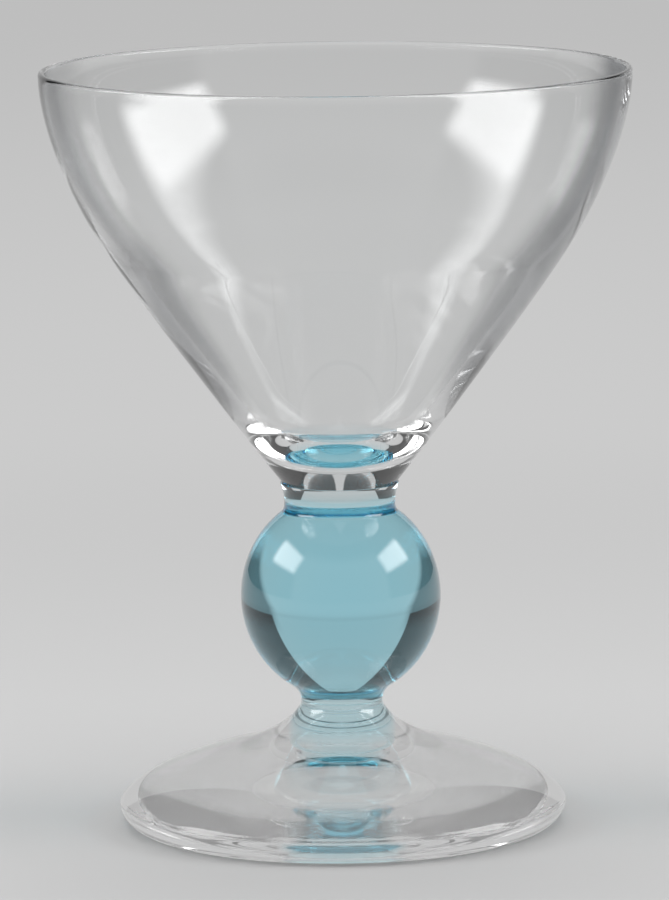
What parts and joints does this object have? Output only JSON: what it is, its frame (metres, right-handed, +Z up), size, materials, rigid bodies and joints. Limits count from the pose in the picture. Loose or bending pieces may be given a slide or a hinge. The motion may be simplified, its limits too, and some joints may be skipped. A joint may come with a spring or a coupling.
{
  "type": "cocktail glass",
  "caption": "Footed cocktail glass: a clear flared bowl on a solid aqua ball stem with a waisted collar, standing on a clear round foot.",
  "frame": {"origin": "centre of the circle that the foot stands on", "axes": "+Z up the axis of the glass, from the foot to the rim; +X to the right and -Y towards the viewer of the picture"},
  "size_m": [0.086, 0.086, 0.111],
  "materials": {
    "clear_bowl": "clear, fire-polished",
    "aqua_stem": "clear pale aqua, fire-polished",
    "clear_foot": "clear, fire-polished"
  },
  "bodies": {
    "root": {"bowl": "clear_bowl", "ball_stem": "aqua_stem", "foot": "clear_foot"}
  },
  "joints": []
}
